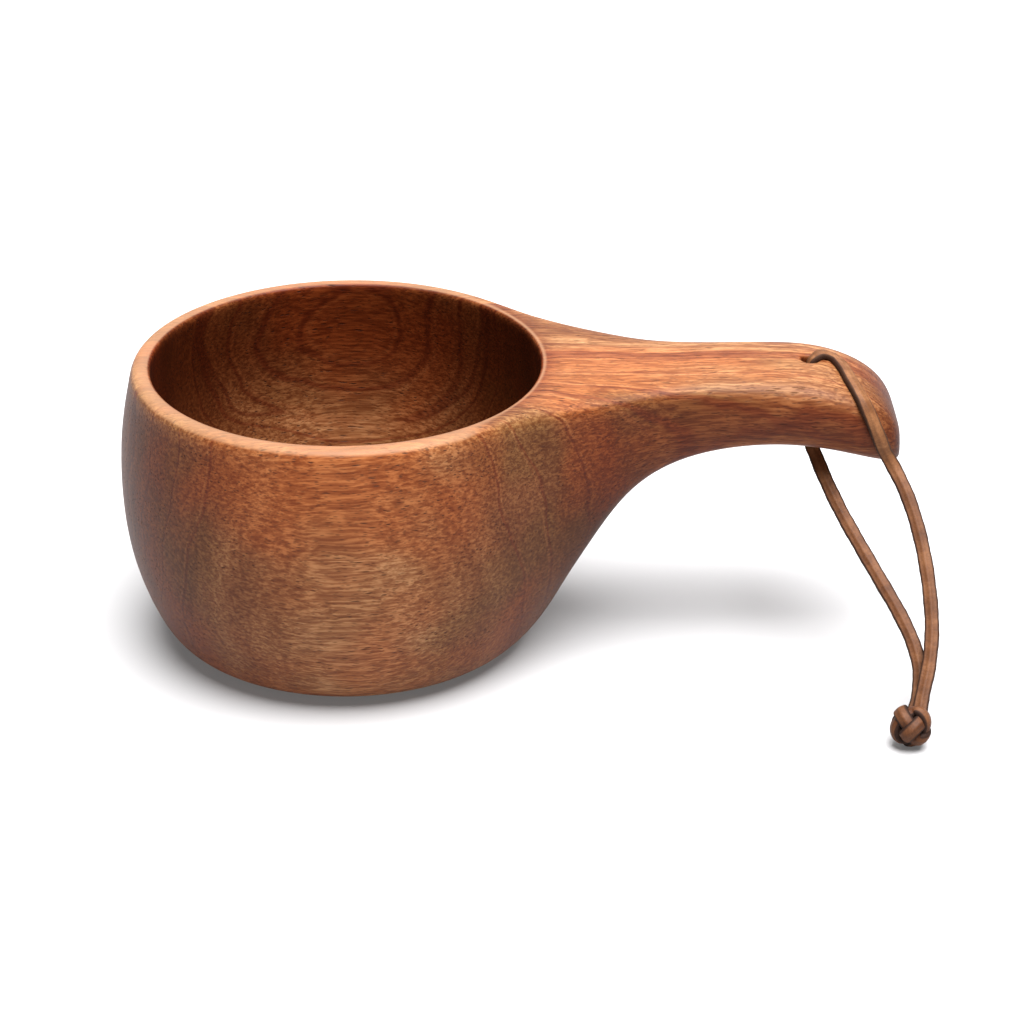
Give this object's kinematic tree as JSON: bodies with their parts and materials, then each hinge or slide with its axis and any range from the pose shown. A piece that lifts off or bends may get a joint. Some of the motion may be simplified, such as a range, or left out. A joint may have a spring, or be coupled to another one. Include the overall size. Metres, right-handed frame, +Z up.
{
  "type": "kuksa drinking cup",
  "caption": "Round carved wooden drinking cup with a solid handle drawn out of its wall, and a leather lace loop tied in a ball knot.",
  "frame": {"origin": "centre of the bowl's flat foot, on the surface the cup stands on", "axes": "+Z up out of the mouth, +X from the bowl out along the handle, +Y to the left seen from the bowl; the lace hangs down on the -Y side"},
  "size_m": [0.1738, 0.1113, 0.0649],
  "materials": {
    "wood": "satin, oiled, open pored red-brown hardwood",
    "leather": "matt brown lace"
  },
  "bodies": {
    "cup": {"cup": "wood", "thong_seat": "leather"},
    "thong_loop": {"thong_outer_leg": "leather", "thong_inner_leg": "leather", "thong_knot": "leather"}
  },
  "joints": [
    {"name": "thong_swing", "type": "hinge", "parent": "cup", "child": "thong_loop", "pos_m": [0.1176, -0.0155, 0.0442], "axis": [0.7525, -0.6568, -0.0478], "range_deg": [-40, 80]}
  ]
}
